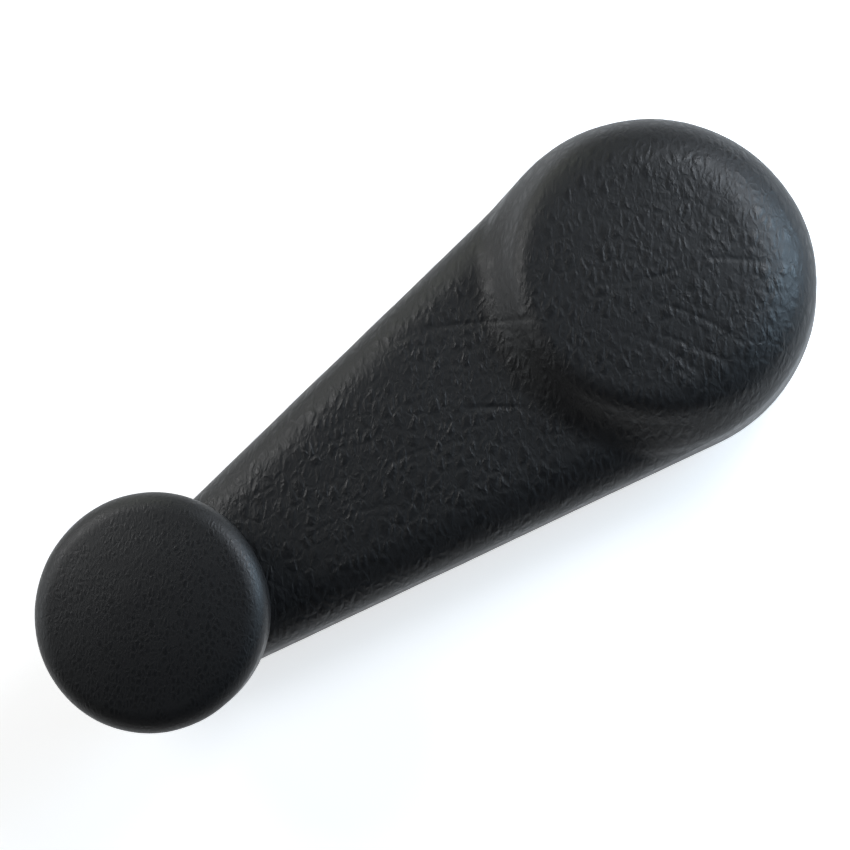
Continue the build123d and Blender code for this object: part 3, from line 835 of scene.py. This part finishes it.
def finish_piece(piece, material, body, node_name):
    """Gives a piece its material, says what it rides on, and hides the part that it stands for."""
    piece.data.materials.append(material)
    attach(piece, body)
    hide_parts(node_name)


# ---------------------------------------------------------------- stage


def camera():
    """A camera looking down on the handle's face, leaning towards its +Y side."""
    data = bpy.data.cameras.new("camera")
    data.sensor_width = CAMERA_SENSOR
    data.lens = CAMERA_LENS
    eye = add_object("camera", data)
    bpy.context.scene.camera = eye
    turn = Matrix.Rotation(radians(CAMERA_ROLL), 3, "Z")
    turn = turn @ Matrix.Rotation(radians(CAMERA_LEAN_Y), 3, "Y")
    turn = turn @ Matrix.Rotation(radians(CAMERA_LEAN_X), 3, "X")
    to_world = turn.transposed()
    place = Vector(CAMERA_AIM) * MM + to_world @ (Vector((*CAMERA_OFFSET, CAMERA_DISTANCE)) * MM)
    eye.matrix_world = Matrix.Translation(place) @ to_world.to_4x4()


def softbox(name, azimuth, elevation, power, colour):
    """A soft round light at an azimuth and elevation round the handle, facing it."""
    data = bpy.data.lights.new(name, "AREA")
    data.shape = "DISK"
    data.size = LIGHT_SIZE
    data.color = colour
    data.energy = power
    turn, rise = radians(azimuth), radians(elevation)
    middle = Vector(CAMERA_AIM) * MM
    away = Vector((cos(rise) * cos(turn), cos(rise) * sin(turn), sin(rise)))
    place = middle + away * LIGHT_DISTANCE
    lamp = add_object(name, data)
    lamp.location = place
    lamp.rotation_euler = (middle - place).to_track_quat("-Z", "Y").to_euler()
    lamp.visible_camera = False


def floor():
    """The pale floor under the trim washer."""
    bm = bmesh.new()
    bmesh.ops.create_grid(bm, x_segments=1, y_segments=1, size=FLOOR_SIZE)
    piece = mesh_object("floor", bm)
    piece.location.z = cad_box[0][2]
    material, _, shader, _ = new_material("pale_floor")
    shader.inputs["Base Color"].default_value = FLOOR_COLOUR
    shader.inputs["Roughness"].default_value = FLOOR_ROUGHNESS
    shader.inputs["Emission Color"].default_value = WHITE
    shader.inputs["Emission Strength"].default_value = FLOOR_GLOW
    piece.data.materials.append(material)


def world():
    """Studio surroundings: pale round the horizon and dark overhead."""
    made = bpy.data.worlds.new("surroundings")
    bpy.context.scene.world = made
    made.use_nodes = True
    tree = made.node_tree
    direction = tree.nodes.new("ShaderNodeTexCoord").outputs["Generated"]
    height = node(tree, "ShaderNodeSeparateXYZ", {"Vector": direction}).outputs["Z"]
    top, low = sin(radians(WORLD_TOP)), sin(radians(WORLD_LOW))
    background = tree.nodes["Background"]
    feed(tree, background.inputs["Strength"], remap(tree, height, top, low, WORLD_DIM, WORLD_PALE))
    background.inputs["Color"].default_value = WHITE


grip_skin = make_grip_skin()
knob_skin = make_knob_skin()

# Each part's colours, texture, the texture's size and depth, roughness and metallic
PARTS = {
    "back_cover": (*BLACK, spark_texture, 0.0006, 0.00009, 0.50, 0.0),
    "trim_washer": (*SMOKE, turned_texture, 0.0011, 0.00002, 0.42, 0.0),
    "cover_carrier": (*BLACK, spark_texture, 0.0008, 0.00004, 0.50, 0.0),
    "knob_body": (*BLACK, knob_rings, 0.0014, 0.00003, 0.46, 0.0),
    "knob_bush": (*ACETAL, knob_rings, 0.0008, 0.00001, 0.38, 0.0),
    "dome_pad": (*FOAM, foam_texture, 0.0007, 0.00020, 0.90, 0.0),
    "hub_insert": (*ZINC, cast_texture, 0.0013, 0.00006, 0.46, 1.0),
    "arm_core": (*STEEL, rolled_texture, 0.0006, 0.00002, 0.40, 1.0),
    "hub_rivets": (*PLATED, cast_texture, 0.0008, 0.00002, 0.34, 1.0),
    "back_cover_screws": (*PLATED, cast_texture, 0.0007, 0.00002, 0.30, 1.0),
    "knob_stud": (*STEEL, knob_rings, 0.0005, 0.00001, 0.30, 1.0),
    "thrust_washer": (*PLATED, knob_rings, 0.0005, 0.00001, 0.32, 1.0),
    "spring_washer": (*BLUED, knob_rings, 0.0006, 0.00001, 0.34, 1.0),
    "end_washer": (*PLATED, knob_rings, 0.0005, 0.00001, 0.32, 1.0),
    "push_nut": (*BLUED, cast_texture, 0.0006, 0.00001, 0.40, 1.0),
    "retaining_clip": (*BLUED, rolled_texture, 0.0005, 0.00002, 0.32, 1.0),
}
for name, look in PARTS.items():
    frame["nodes"][name].data.materials[0] = part_material(name + "_finish", *look)

grip_vinyl = skin_material("grained_vinyl", GRAIN_SIZE, GRAIN_DEPTH)
knob_vinyl = skin_material("fine_grained_vinyl", KNOB_GRAIN_SIZE, KNOB_GRAIN_DEPTH)
finish_piece(grip_skin, grip_vinyl, "crank", "grip_cover")
finish_piece(knob_skin, knob_vinyl, "knob", "knob_cap")

camera()
floor()
world()
for light in LIGHTS:
    softbox(*light)
bpy.context.scene.view_settings.view_transform = "Standard"
